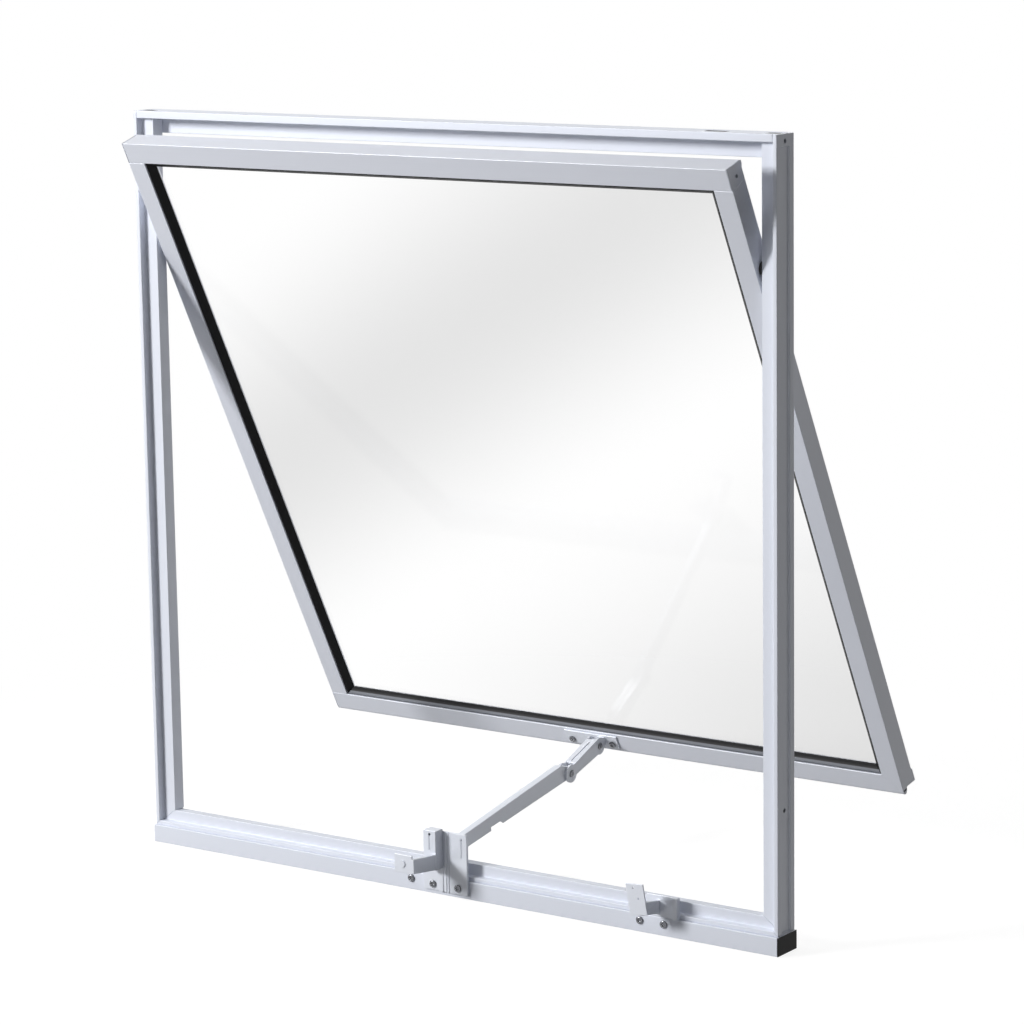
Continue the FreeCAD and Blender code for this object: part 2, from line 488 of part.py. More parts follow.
# Folding stay: pivot points of its two arms, in the plane across the middle of the sill
PIN_Y = "(%s - sash_pin_out*cos(open_angle) + sash_pin_z*sin(open_angle))" % SASH_Y
PIN_Z = "(%s - sash_pin_out*sin(open_angle) - sash_pin_z*cos(open_angle))" % SASH_Z
SHORT_ANGLE = "(atan((%s - stay_z)/(%s - stay_y)) + fold_angle * 1 deg)" % (PIN_Z, PIN_Y)
ELBOW_Y = "(%s - short_len*cos(%s))" % (PIN_Y, SHORT_ANGLE)
ELBOW_Z = "(%s - short_len*sin(%s))" % (PIN_Z, SHORT_ANGLE)
LONG_ANGLE = "atan((%s - stay_z)/(%s - stay_y))" % (ELBOW_Z, ELBOW_Y)
LONG_LEN = "sqrt((%s - stay_y)^2 + (%s - stay_z)^2)" % (ELBOW_Y, ELBOW_Z)

# Stay base bracket: a plate on the sub-sill's front with a thicker right flange, ribs and two ears behind
base = new_body("stay_base_bracket")
FRONT = "(-sub_front - base_thick)"
EAR_BACK = "(rim_depth - ear_clear)"
EAR_IN = "(long_w/2 + side_gap)"
plate = new_sketch(base, "XZ_Plane", "plate", "sub_front")
outline(plate, [("-base_w/2", "base_low"), ("base_w/2", "base_low"), ("base_w/2", "base_top - base_round"),
                ("base_w/2 - base_round*0.3", "base_top - base_round*0.3"), ("base_w/2 - base_round", "base_top"),
                ("-base_w/2 + base_round", "base_top"), ("-base_w/2", "base_top - base_round")])
pad(base, plate, "base_thick")
flange = new_sketch(base, "XZ_Plane", "flange", "sub_front + base_thick")
outline(flange, [("pad_in", "base_low"), ("base_w/2", "base_low"), ("base_w/2", "base_top - base_round"),
                 ("base_w/2 - base_round*0.3", "base_top - base_round*0.3"), ("base_w/2 - base_round", "base_top"),
                 ("pad_in", "base_top")])
pad(base, flange, "pad_proud")
ribs = new_sketch(base, "XZ_Plane", "ribs", "sub_front + base_thick")
block(ribs, "-0.8", "base_low", "2.3", "base_top")
block(ribs, "3.1", "base_low", "5.7", "base_top")
block(ribs, "-9.5", "base_low", "-2.8", "box_low - 0.5")
pad(base, ribs, "pad_proud")
groove = new_sketch(base, "XZ_Plane", "groove", "sub_front + base_thick + pad_proud + 1")
block(groove, "groove_x - groove_w/2", "groove_low", "groove_x + groove_w/2", "groove_top")
cut(base, groove, "2")
for tag, low in (("left", "-%s - ear_thick" % EAR_IN), ("right", EAR_IN)):
    ear = new_sketch(base, "YZ_Plane", "ear_" + tag, low)
    block(ear, "-sub_front - base_thick/2", "ear_low", EAR_BACK, "ear_top")
    pad(base, ear, "ear_thick")
bore = new_sketch(base, "YZ_Plane", "bore", EAR_IN + " + ear_thick + 1")
ring(bore, "stay_y", "stay_z", "stay_pin_r + stay_hole_gap")
cut(base, bore, "2*%s + 2*ear_thick + 2" % EAR_IN)
holes = new_sketch(base, "XZ_Plane", "holes", "sub_front - 1")
ring(holes, "-base_screw_x", "base_screw_z", "screw_r + screw_gap")
ring(holes, "base_screw_x", "base_screw_z", "screw_r + screw_gap")
ring(holes, "groove_x", "groove_top", "drive_r")
cut(base, holes, "base_thick + pad_proud + 3", along_normal=True)

# Long arm: a channel open underneath, with a notch in its lower edges, its end between the short arm's cheeks
long_arm = new_body("stay_long_arm")
side_view = new_sketch(long_arm, "YZ_Plane", "side", "-long_w/2")
outline(side_view, [("-long_start", "-near_low"), (LONG_LEN + " + far_low", "-far_low"),
                    (LONG_LEN + " + far_low", "far_top*0.4"), (LONG_LEN + " - far_top", "far_top"),
                    ("-long_start", "near_top")])
pad(long_arm, side_view, "long_w")
inside = new_sketch(long_arm, "YZ_Plane", "inside", "-long_w/2 + long_wall")
outline(inside, [("-long_start - 3", "-30"), (LONG_LEN + " - far_top", "-30"),
                 (LONG_LEN + " - far_top", "far_top - 2*long_wall"), ("-long_start - 3", "near_top - long_wall")])
cut(long_arm, inside, "long_w - 2*long_wall", along_normal=True)
notch = new_sketch(long_arm, "YZ_Plane", "notch", "-long_w/2 - 1")
outline(notch, [("notch_at", "-near_low - 5"), ("notch_at + notch_long", "-near_low - 5"),
                ("notch_at + notch_long", "-near_low + 1"), ("notch_at + notch_long - notch_deep", "-near_low + notch_deep"),
                ("notch_at", "-near_low + notch_deep")])
cut(long_arm, notch, "long_w + 2", along_normal=True)
bores = new_sketch(long_arm, "YZ_Plane", "bores", "-long_w/2 - 1")
ring(bores, "0", "0", "stay_pin_r + stay_hole_gap")
ring(bores, LONG_LEN, "0", "stay_pin_r + stay_hole_gap")
cut(long_arm, bores, "long_w + 2", along_normal=True)
tilt(long_arm, LONG_ANGLE, "0", "stay_y", "stay_z")

# Short arm: a wider channel open underneath, round cheeks at both pins and a narrow slot along its top
short_arm = new_body("stay_short_arm")
side_view = new_sketch(short_arm, "YZ_Plane", "side", "-short_w/2")
outline(side_view, [("0", "-short_near_low"), ("short_len", "-short_far_low"), ("short_len", "short_far_top"),
                    ("0", "short_near_top")])
pad(short_arm, side_view, "short_w")
rounds = new_sketch(short_arm, "YZ_Plane", "rounds", "-short_w/2")
ring(rounds, "0", "0", "elbow_r")
ring(rounds, "short_len", "0", "sash_r")
pad(short_arm, rounds, "short_w")
inside = new_sketch(short_arm, "YZ_Plane", "inside", "-short_w/2 + short_wall")
outline(inside, [("-elbow_r - 1", "-elbow_r - 1"), ("short_len + sash_r + 1", "-elbow_r - 1"),
                 ("short_len + sash_r + 1", "sash_r + 1"), ("short_len - short_end*0.3", "sash_r + 1"),
                 ("short_len - short_end*0.3", "short_far_top - short_wall"),
                 ("elbow_r + 1", "short_near_top - short_wall"), ("elbow_r + 1", "elbow_r + 1"),
                 ("-elbow_r - 1", "elbow_r + 1")])
cut(short_arm, inside, "short_w - 2*short_wall", along_normal=True)
slot = new_sketch(short_arm, "XY_Plane", "slot", "elbow_r + sash_r")
block(slot, "-short_slot/2", "elbow_r + 4", "short_slot/2", "short_len - short_end")
cut(short_arm, slot, "elbow_r + sash_r")
bores = new_sketch(short_arm, "YZ_Plane", "bores", "-short_w/2 - 1")
ring(bores, "0", "0", "stay_pin_r + stay_hole_gap")
ring(bores, "short_len", "0", "stay_pin_r + stay_hole_gap")
cut(short_arm, bores, "short_w + 2", along_normal=True)
tilt(short_arm, SHORT_ANGLE, "0", ELBOW_Y, ELBOW_Z)

# Sash bracket: a flat pad on the bottom rail's face with a tongue between the short arm's cheeks
TONGUE_W = "(short_w - 2*short_wall - 2*side_gap)"
sash_bracket = new_body("stay_sash_bracket")
face = new_sketch(sash_bracket, "XZ_Plane", "pad", "0")
block(face, "-pad_left", LOW + " + pad_low", "pad_right", LOW + " + pad_low + pad_top")
pad(sash_bracket, face, "pad_thick")
tongue = new_sketch(sash_bracket, "YZ_Plane", "tongue", "-%s/2" % TONGUE_W)
outline(tongue, [("-sash_pin_out", "-sash_pin_z - tongue_r*0.8"), ("-pad_thick/2", "-sash_pin_z - tongue_r - 3"),
                 ("-pad_thick/2", "-sash_pin_z"), ("-sash_pin_out", "-sash_pin_z + tongue_r*0.8")])
pad(sash_bracket, tongue, TONGUE_W)
nose = new_sketch(sash_bracket, "YZ_Plane", "nose", "-%s/2" % TONGUE_W)
ring(nose, "-sash_pin_out", "-sash_pin_z", "tongue_r")
pad(sash_bracket, nose, TONGUE_W)
bore = new_sketch(sash_bracket, "YZ_Plane", "bore", "-%s/2 - 1" % TONGUE_W)
ring(bore, "-sash_pin_out", "-sash_pin_z", "stay_pin_r + stay_hole_gap")
cut(sash_bracket, bore, TONGUE_W + " + 2", along_normal=True)
holes = new_sketch(sash_bracket, "XZ_Plane", "holes", "-1")
ring(holes, "-pad_screw_left", LOW + " + pad_screw_up", "screw_r + screw_gap")
ring(holes, "pad_screw_right", LOW + " + pad_screw_up", "screw_r + screw_gap")
cut(sash_bracket, holes, "pad_thick + 2", along_normal=True)
on_sash(sash_bracket)


def stay_pin(label, width, out, up):
    """A rivet through a pivot of the stay, with a head outside each cheek."""
    rivet = new_body(label)
    shank = new_sketch(rivet, "YZ_Plane", "shank", "-(%s)/2" % width)
    ring(shank, "0", "0", "stay_pin_r")
    pad(rivet, shank, width)
    for tag, spot, back in (("left", "-(%s)/2" % width, True), ("right", "(%s)/2" % width, False)):
        head_round = new_sketch(rivet, "YZ_Plane", "head_" + tag, spot)
        ring(head_round, "0", "0", "head_r")
        pad(rivet, head_round, "head_thick", backwards=back)
    place(rivet, "0", out, up)


stay_pin("stay_base_pin", "2*%s + 2*ear_thick" % EAR_IN, "stay_y", "stay_z")
stay_pin("stay_elbow_pin", "short_w", ELBOW_Y, ELBOW_Z)
stay_pin("stay_sash_pin", "short_w", PIN_Y, PIN_Z)


def screw(label, across, out, up):
    """A pan head screw in a face that looks at the room, its seat at (across, out, up)."""
    body = new_body(label)
    top = new_sketch(body, "XZ_Plane", "head", "-(%s)" % out)
    ring(top, across, up, "screw_head_r")
    pad(body, top, "screw_head")
    shank = new_sketch(body, "XZ_Plane", "shank", "-(%s)" % out)
    ring(shank, across, up, "screw_r")
    pad(body, shank, "screw_long", backwards=True)
    drive = new_sketch(body, "XZ_Plane", "drive", "-(%s) + screw_head - drive_deep" % out)
    half = "drive_w/2"
    quarter = [(half, "drive_r"), (half, half), ("drive_r", half)]
    cross = [(x, z) for x, z in quarter]
    cross += [(x, "-" + z) for x, z in reversed(quarter)]
    cross += [("-" + x, "-" + z) for x, z in quarter]
    cross += [("-" + x, z) for x, z in reversed(quarter)]
    outline(drive, [("%s + (%s)" % (across, x), "%s + (%s)" % (up, z)) for x, z in cross])
    cut(body, drive, "drive_deep + 1", along_normal=True)
    return body


screw("base_screw_left", "-base_screw_x", FRONT, "base_screw_z")
screw("base_screw_right", "base_screw_x", FRONT + " - pad_proud", "base_screw_z")
screw("latch_screw_left", "-latch_screw_far", "-sub_front", "latch_screw_z")
screw("latch_screw_right_a", "latch_x - screw_a_left", "-sub_front", "latch_screw_z")
screw("latch_screw_right_b", "latch_x + screw_b_right", "-sub_front", "latch_screw_z")
on_sash(screw("sash_screw_left", "-pad_screw_left", "-pad_thick", LOW + " + pad_screw_up"))
on_sash(screw("sash_screw_right", "pad_screw_right", "-pad_thick", LOW + " + pad_screw_up"))

# Left turn latch: a box on the bracket's left flange, an arm out of its front and a plate turned to the left
BOX_FRONT = "(%s - box_out)" % FRONT
ARM_FRONT = "(%s - left_out)" % BOX_FRONT
left_base = new_body("latch_left_base")
face = new_sketch(left_base, "XZ_Plane", "face", "sub_front + base_thick")
block(face, "-box_left", "box_low", "-box_right", "box_top")
pad(left_base, face, "box_out")
inside = new_sketch(left_base, "XY_Plane", "inside", "box_low - 1")
block(inside, "-box_left + box_wall", BOX_FRONT + " + box_wall", "-box_right - box_wall", FRONT + " - box_wall")
cut(left_base, inside, "1 + box_top - box_wall - box_low", along_normal=True)
groove = new_sketch(left_base, "XZ_Plane", "groove", "-%s + 1" % BOX_FRONT)
block(groove, "-(box_left + box_right)/2 - groove_w/2", "box_groove_low",
      "-(box_left + box_right)/2 + groove_w/2", "box_hole_z")
cut(left_base, groove, "2")
hole = new_sketch(left_base, "XZ_Plane", "hole", "-%s + 1" % BOX_FRONT)
ring(hole, "-(box_left + box_right)/2", "box_hole_z", "drive_r")
cut(left_base, hole, "box_wall + 2")

left_latch = new_body("latch_left")
arm = new_sketch(left_latch, "YZ_Plane", "arm", "-box_right - arm_thick")
outline(arm, [(BOX_FRONT, "left_back_low"), (ARM_FRONT, "left_front_low"), (ARM_FRONT, "left_front_top"),
              (BOX_FRONT, "left_back_top")])
pad(left_latch, arm, "arm_thick")
plate = new_sketch(left_latch, "XZ_Plane", "plate", "-%s - latch_thick" % ARM_FRONT)
block(plate, "-box_right - arm_thick - left_plate_w", "left_plate_low", "-box_right - arm_thick/2", "left_plate_top")
pad(left_latch, plate, "latch_thick")
boss = new_sketch(left_latch, "XZ_Plane", "boss", "-%s" % ARM_FRONT)
ring(boss, "-boss_x", "boss_z", "boss_r")
pad(left_latch, boss, "boss_thick")

# Right turn latch: a bracket standing on the sub-sill's ledge, an arm and a leaning upright plate with two holes
right_base = new_body("latch_right_base")
foot = new_sketch(right_base, "XY_Plane", "foot", "sub_tall")
FOOT_END = "latch_x + foot_right + foot_rib"
outline(foot, [("latch_x - foot_left", "0"), ("latch_x - foot_left", "-sub_front"),
               ("latch_x + foot_right", "-sub_front"), ("latch_x + foot_right", "-sub_front - right_out"),
               (FOOT_END, "-sub_front - right_out"), (FOOT_END, "0")])
pad(right_base, foot, "right_tall")

right_latch = new_body("latch_right")
RIGHT_FRONT = "(-sub_front - right_arm_out)"
arm = new_sketch(right_latch, "YZ_Plane", "arm", "latch_x")
outline(arm, [("-sub_front", "right_back_low"), (RIGHT_FRONT, "right_front_low"), (RIGHT_FRONT, "right_front_top"),
              ("-sub_front", "right_back_top")])
pad(right_latch, arm, "right_arm_w")
face = new_sketch(right_latch, "XZ_Plane", "face", "-" + RIGHT_FRONT)
PX = "latch_x - plate_left"
PZ = "right_plate_z"
outline(face, [(PX + " - right_plate_half_w - right_lean", PZ + " + right_plate_half - right_skew"),
               (PX + " + right_plate_half_w - right_lean", PZ + " + right_plate_half"),
               (PX + " + right_plate_half_w + right_lean", PZ + " - right_plate_half + right_skew"),
               (PX + " - right_plate_half_w + right_lean", PZ + " - right_plate_half - right_skew")])
ring(face, PX + " - right_hole_in - 1", PZ + " + right_hole_up", "right_hole_r")
ring(face, PX + " + right_hole_in", PZ + " + right_hole_up*0.1", "right_hole_r")
pad(right_latch, face, "latch_thick")

doc.recompute()
parts = [item for item in doc.Objects if item.isDerivedFrom("PartDesign::Body")]
for item in doc.Objects:
    for state in item.State:
        if state in ("Invalid", "Error"):
            raise RuntimeError("%s is %s" % (item.Label, state))
for body in parts:
    shape = body.Shape
    if shape.isNull() or shape.Volume <= 0 or not shape.isValid():
        raise RuntimeError(body.Label + " has no valid shape")
    print(body.Label, len(shape.Solids), round(shape.Volume, 1), [round(v, 1) for v in (
        shape.BoundBox.XMin, shape.BoundBox.XMax, shape.BoundBox.YMin, shape.BoundBox.YMax,
        shape.BoundBox.ZMin, shape.BoundBox.ZMax)])
for body in parts:
    body.Shape.exportStep("parts/" + body.Label + ".step")
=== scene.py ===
"""Aluminium awning window, shown open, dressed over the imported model.

Metres, in the model's own frame: X left to right as seen from the room, Y outdoors, Z up.
"""

import json
import math

import bmesh
import bpy
import numpy as np
from mathutils import Matrix, Vector

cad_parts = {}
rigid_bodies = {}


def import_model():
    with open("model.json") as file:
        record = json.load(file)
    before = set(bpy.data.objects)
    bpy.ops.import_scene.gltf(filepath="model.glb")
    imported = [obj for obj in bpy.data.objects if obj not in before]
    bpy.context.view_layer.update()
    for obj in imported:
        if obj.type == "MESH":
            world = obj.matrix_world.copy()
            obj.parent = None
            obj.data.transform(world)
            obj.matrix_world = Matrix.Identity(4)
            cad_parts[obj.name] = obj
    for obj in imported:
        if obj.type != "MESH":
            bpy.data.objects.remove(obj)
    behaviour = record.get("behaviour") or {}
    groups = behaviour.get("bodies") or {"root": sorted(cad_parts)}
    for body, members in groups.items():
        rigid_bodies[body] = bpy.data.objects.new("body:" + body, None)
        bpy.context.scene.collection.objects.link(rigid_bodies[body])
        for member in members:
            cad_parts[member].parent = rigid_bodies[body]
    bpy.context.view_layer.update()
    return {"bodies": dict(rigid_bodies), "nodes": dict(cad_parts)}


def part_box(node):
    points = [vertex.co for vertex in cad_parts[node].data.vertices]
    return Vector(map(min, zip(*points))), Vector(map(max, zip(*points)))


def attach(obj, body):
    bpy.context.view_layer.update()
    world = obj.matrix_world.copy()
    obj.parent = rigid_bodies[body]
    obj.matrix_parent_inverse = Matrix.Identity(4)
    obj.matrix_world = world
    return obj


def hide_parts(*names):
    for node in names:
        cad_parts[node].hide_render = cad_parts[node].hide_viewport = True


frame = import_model()
nodes = frame["nodes"]
BODY = list(frame["bodies"])[0]

# Camera: where the photograph was taken from
CAMERA_AT = Vector((2.4401, -3.3140, 1.2049))
AZIMUTH = math.radians(35.239)
ELEVATION = math.radians(10.308)
ROLL = math.radians(-0.863)
LENS = 127.46
SENSOR = 36.0

# Softboxes: name, place, the point that each faces, side length and power in watts
SOFTBOXES = (("key", (-2.9, -3.7, 2.3), (0, 0, 0.45), 1.1, 248.0),
             ("overhead", (-2.4, -0.8, 3.4), (0, 0, 0.5), 2.2, 34.0),
             ("rear", (-0.3, 4.0, 2.6), (0, 0, 0.45), 1.8, 90.0))
WORLD_LIGHT = 0.10

# Floor: half width, gap under the sill, paint, its glow where it is seen, and the distances from the
# window's middle between which it turns plain white
FLOOR_REACH = 45.0
FLOOR_GAP = 0.0002
FLOOR_TONE = 0.20
FLOOR_GLOW = 0.88
SHADOW_WHOLE = 0.5
SHADOW_GONE = 1.3

# Open sash: the angle it is swung out by, its pivots' Y and Z, and how far they are below its top
# edge and behind its front
OPEN = math.radians(27.0)
PIVOT = (0.0170, 0.7608)
PIVOT_DROP = 0.1318
PIVOT_DEEP = 0.01375
SASH_IN = Vector((0, math.cos(OPEN), math.sin(OPEN)))
SASH_UP = Vector((0, -math.sin(OPEN), math.cos(OPEN)))
SASH_TOP = Vector((0, *PIVOT)) - PIVOT_DEEP * SASH_IN + PIVOT_DROP * SASH_UP

# Radii of the edges that the die, the press and the mould leave, and the steps across each
EXTRUDED_EDGE = 0.0008
SUB_SILL_EDGE = 0.0007
PRESSED_EDGE = 0.0007
MOULDED_EDGE = 0.0004
GASKET_EDGE = 0.0008
EDGE_STEPS = 2
GASKET_STEPS = 3

# A node's mesh: points this close are one, faces this level are one, and an edge is rounded where it
# turns more than this and is longer than this. FLAT_END is how near its furthest point an end's points are
SAME_POINT = 0.000002
SAME_FACE = math.radians(0.4)
SHARP_TURN = math.radians(32)
SHORTEST_ROUNDED = 0.0018
FLAT_END = 0.00002

# Screw heads: radius and height, their cross recess, and how softly its edges fall
HEAD_R = 0.0045
HEAD_TALL = 0.0024
CROSS_ARM = 0.0023
CROSS_HALF = 0.0007
CROSS_DEEP = 0.0013
CROSS_EASE = 0.00022

# Rivets of the stay: head radius and height, the dimple in it, and the shank's radius and inmost ring
RIVET_R = 0.0044
RIVET_TALL = 0.0016
DIMPLE_R = 0.0018
DIMPLE_DEEP = 0.0008
DIMPLE_EASE = 0.0002
SHANK_R = 0.003
SHANK_MIDDLE = 0.0001

# A pan head's outline, in shares of its radius and height: the dome's fall at the rim, how high the
# straight side ends, how far the foot draws in, and the innermost ring
DOME_FALL = 0.42
SIDE_END = 0.45
FOOT_IN = 0.97
FIRST_RING = 0.02
DOME_RINGS = 30

# Spokes of a screw head, of a rivet head and of a shank
HEAD_SPOKES = 64
RIVET_SPOKES = 48
SHANK_SPOKES = 32

# A point sunk deeper than this takes painted shade, and so does a face with more than this share of such
# corners
SUNK_FOR_SHADE = 0.0004
SHADE_SHARE = 0.4

# Drawn finish: detail of the die lines, size and detail of the clouding, and strength of the relief
LINE_DETAIL = 2.0
CLOUD_SIZE = 5.0
CLOUD_DETAIL = 3.0
RELIEF = 0.5

# Die lines run along X on the bars across, and along Z on the uprights
ALONG_X = (0.01, 1, 1)
ALONG_Z = (1, 1, 0.01)

FRAME_TONE = (0.755, 0.785, 0.865)
SASH_TONE = (0.740, 0.765, 0.840)
FITTING_TONE = (0.76, 0.79, 0.86)
STEEL_TONE = (0.16, 0.165, 0.18)
# The recess tone is painted shade: near-black laid in the screw recesses and rivet dimples
RECESS_SHADE_TONE = (0.03, 0.03, 0.035)
RUBBER_TONE = (0.003, 0.003, 0.004)
PLASTIC_TONE = (0.005, 0.005, 0.005)
PIVOT_TONE = (0.06, 0.06, 0.065)

# Painted lip on the bottom gasket: its grey, an aluminium lip's colour darkened as painted shade,
# how deep behind the sash's front it ends, and half of the change
LIP_SHADE_TONE = (0.150, 0.160, 0.185)
LIP_DEEP = 0.0046
LIP_EASE = 0.0003

# Glass: index, gloss, and soft stripes of painted reflection: their slant, the heights between which
# they lie, measured up from the sash's top edge, and (height, share of light that passes), first at both
# ends
GLASS_INDEX = 1.2
GLASS_GLOSS = 0.4
REFLECTION_SLANT = 0.62
REFLECTION_LOW = -1.10
REFLECTION_TOP = 0.10
REFLECTION_ENDS = ((-1.08, 0.74), (0.06, 1.0))
REFLECTION_BETWEEN = ((-0.53, 1.0), (-0.235, 0.78))


def aim_camera():
    """A camera looking along the photograph's line, with the photograph's small roll."""
    data = bpy.data.cameras.new("camera")
    data.sensor_width = SENSOR
    data.lens = LENS
    data.clip_start = 0.1
    data.clip_end = 60.0
    camera = bpy.data.objects.new("camera", data)
    bpy.context.scene.collection.objects.link(camera)
    back = Vector((math.sin(AZIMUTH) * math.cos(ELEVATION),
                   -math.cos(AZIMUTH) * math.cos(ELEVATION),
                   math.sin(ELEVATION)))
    right = (-back).cross(Vector((0, 0, 1))).normalized()
    up = right.cross(-back)
    right_rolled = right * math.cos(ROLL) + up * math.sin(ROLL)
    up_rolled = -right * math.sin(ROLL) + up * math.cos(ROLL)
    turn = Matrix((right_rolled, up_rolled, back)).transposed()
    camera.rotation_mode = "QUATERNION"
    camera.rotation_quaternion = turn.to_quaternion()
    camera.location = CAMERA_AT
    bpy.context.scene.camera = camera


def softbox(name, at, look, size, power):
    """A square lamp at one place, facing a point; it shows in gloss, but not itself or through glass."""
    data = bpy.data.lights.new(name, "AREA")
    data.shape = "SQUARE"
    data.size = size
    data.energy = power
    box = bpy.data.objects.new(name, data)
    bpy.context.scene.collection.objects.link(box)
    box.location = at
    box.rotation_mode = "QUATERNION"
    box.rotation_quaternion = (Vector(look) - Vector(at)).to_track_quat("-Z", "Y")
    box.visible_camera = False
    box.visible_transmission = False


def worked(tree, operation, *given, clamp=False):
    """One step of arithmetic on other nodes' outputs or plain numbers."""
    node = tree.nodes.new("ShaderNodeMath")
    node.operation = operation
    node.use_clamp = clamp
    for socket, value in zip(node.inputs, given):
        if isinstance(value, float):
            socket.default_value = value
        else:
            tree.links.new(value, socket)
    return node.outputs[0]


def ranged(tree, value, low, high, kind="LINEAR"):
    """0 where a value is at low, 1 where it is at high, and held beyond both."""
    span = tree.nodes.new("ShaderNodeMapRange")
    span.interpolation_type = kind
    span.inputs["From Min"].default_value = low
    span.inputs["From Max"].default_value = high
    tree.links.new(value, span.inputs["Value"])
    return span.outputs["Result"]


def mixed(tree, share, first, second, out):
    """Two shaders mixed by a share of the second, put out as a surface."""
    mix = tree.nodes.new("ShaderNodeMixShader")
    tree.links.new(share, mix.inputs[0])
    tree.links.new(first.outputs[0], mix.inputs[1])
    tree.links.new(second.outputs[0], mix.inputs[2])
    tree.links.new(mix.outputs[0], out.inputs["Surface"])


def seen_directly(tree):
    """1 for rays from the camera, from gloss and through glass, 0 for the rest."""
    path = tree.nodes.new("ShaderNodeLightPath")
    total = path.outputs["Is Camera Ray"]
    for kind in ("Is Glossy Ray", "Is Transmission Ray"):
        total = worked(tree, "ADD", total, path.outputs[kind], clamp=True)
    return total


def studio():
    """White surroundings where they are seen, a dim level light elsewhere, and the softboxes."""
    world = bpy.data.worlds.new("studio")
    bpy.context.scene.world = world
    world.use_nodes = True
    tree = world.node_tree
    tree.nodes.clear()
    out = tree.nodes.new("ShaderNodeOutputWorld")
    shown = tree.nodes.new("ShaderNodeBackground")
    shown.inputs["Color"].default_value = (1, 1, 1, 1)
    shown.inputs["Strength"].default_value = 1.0
    light = tree.nodes.new("ShaderNodeBackground")
    light.inputs["Color"].default_value = (1, 1, 1, 1)
    light.inputs["Strength"].default_value = WORLD_LIGHT
    mixed(tree, seen_directly(tree), light, shown, out)
    for name, at, look, size, power in SOFTBOXES:
        softbox(name, at, look, size, power)


def floor_plane():
    """A pale floor that keeps a soft shadow near the window and is plain white beyond it."""
    reach = FLOOR_REACH
    mesh = bpy.data.meshes.new("floor")
    mesh.from_pydata([(-reach, -reach, 0), (reach, -reach, 0), (reach, reach, 0), (-reach, reach, 0)],
                     [], [(0, 1, 2, 3)])
    plane = bpy.data.objects.new("floor", mesh)
    bpy.context.scene.collection.objects.link(plane)
    plane.location = (0, 0, -FLOOR_GAP)
    material = bpy.data.materials.new("pale floor")
    material.use_nodes = True
    tree = material.node_tree
    tree.nodes.clear()
    out = tree.nodes.new("ShaderNodeOutputMaterial")
    paint = tree.nodes.new("ShaderNodeBsdfDiffuse")
    paint.inputs["Color"].default_value = (FLOOR_TONE, FLOOR_TONE, FLOOR_TONE, 1)
    seen = seen_directly(tree)
    glow = tree.nodes.new("ShaderNodeEmission")
    tree.links.new(worked(tree, "MULTIPLY", seen, FLOOR_GLOW), glow.inputs["Strength"])
    near = tree.nodes.new("ShaderNodeAddShader")
    tree.links.new(paint.outputs[0], near.inputs[0])
    tree.links.new(glow.outputs[0], near.inputs[1])
    white = tree.nodes.new("ShaderNodeEmission")
    place = tree.nodes.new("ShaderNodeTexCoord")
    away = tree.nodes.new("ShaderNodeVectorMath")
    away.operation = "LENGTH"
    tree.links.new(place.outputs["Object"], away.inputs[0])
    fade = ranged(tree, away.outputs["Value"], SHADOW_WHOLE, SHADOW_GONE, "SMOOTHSTEP")
    mixed(tree, worked(tree, "MULTIPLY", fade, seen), near, white, out)
    mesh.materials.append(material)


def group_sockets(group, ins, outs):
    """Name the sockets of a node group: (name, type, default) in, (name, type) out."""
    for name, kind, value in ins:
        socket = group.interface.new_socket(name, in_out="INPUT", socket_type=kind)
        socket.default_value = value
    for name, kind in outs:
        group.interface.new_socket(name, in_out="OUTPUT", socket_type=kind)


def drawn_group():
    """Drawn-metal finish: fine die lines along the piece and a slow clouding of tone and roughness.

    The colour is multiplied by 1 + depth (lines - 0.5) and by 1 + clouding (cloud - 0.5), the
    roughness gains clouding (cloud - 0.5), and the lines are put out as a height too.
    """
    group = bpy.data.node_groups.new("drawn finish", "ShaderNodeTree")
    group_sockets(group,
                  (("Colour", "NodeSocketColor", (0.8, 0.8, 0.8, 1)),
                   ("Place", "NodeSocketVector", (0, 0, 0)),
                   ("Lines", "NodeSocketFloat", 900.0),
                   ("Line depth", "NodeSocketFloat", 0.03),
                   ("Clouding", "NodeSocketFloat", 0.03),
                   ("Roughness", "NodeSocketFloat", 0.4)),
                  (("Colour", "NodeSocketColor"),
                   ("Roughness", "NodeSocketFloat"),
                   ("Height", "NodeSocketFloat")))
    given = group.nodes.new("NodeGroupInput")
    out = group.nodes.new("NodeGroupOutput")
    lines = group.nodes.new("ShaderNodeTexNoise")
    lines.inputs["Detail"].default_value = LINE_DETAIL
    group.links.new(given.outputs["Place"], lines.inputs["Vector"])
    group.links.new(given.outputs["Lines"], lines.inputs["Scale"])
    whole = group.nodes.new("ShaderNodeTexCoord")
    cloud = group.nodes.new("ShaderNodeTexNoise")
    cloud.inputs["Scale"].default_value = CLOUD_SIZE
    cloud.inputs["Detail"].default_value = CLOUD_DETAIL
    group.links.new(whole.outputs["Object"], cloud.inputs["Vector"])

    def about(middle, source, amount):
        """middle + amount * (source - 0.5)"""
        return worked(group, "MULTIPLY_ADD", worked(group, "SUBTRACT", source, 0.5), amount, middle)

    clouding = given.outputs["Clouding"]
    tone = about(1.0, lines.outputs["Fac"], given.outputs["Line depth"])
    slow = about(1.0, cloud.outputs["Fac"], clouding)
    shade = group.nodes.new("ShaderNodeVectorMath")
    shade.operation = "SCALE"
    group.links.new(given.outputs["Colour"], shade.inputs[0])
    group.links.new(worked(group, "MULTIPLY", tone, slow), shade.inputs["Scale"])
    rough = about(given.outputs["Roughness"], cloud.outputs["Fac"], clouding)
    group.links.new(shade.outputs[0], out.inputs["Colour"])
    group.links.new(rough, out.inputs["Roughness"])
    group.links.new(lines.outputs["Fac"], out.inputs["Height"])
    return group


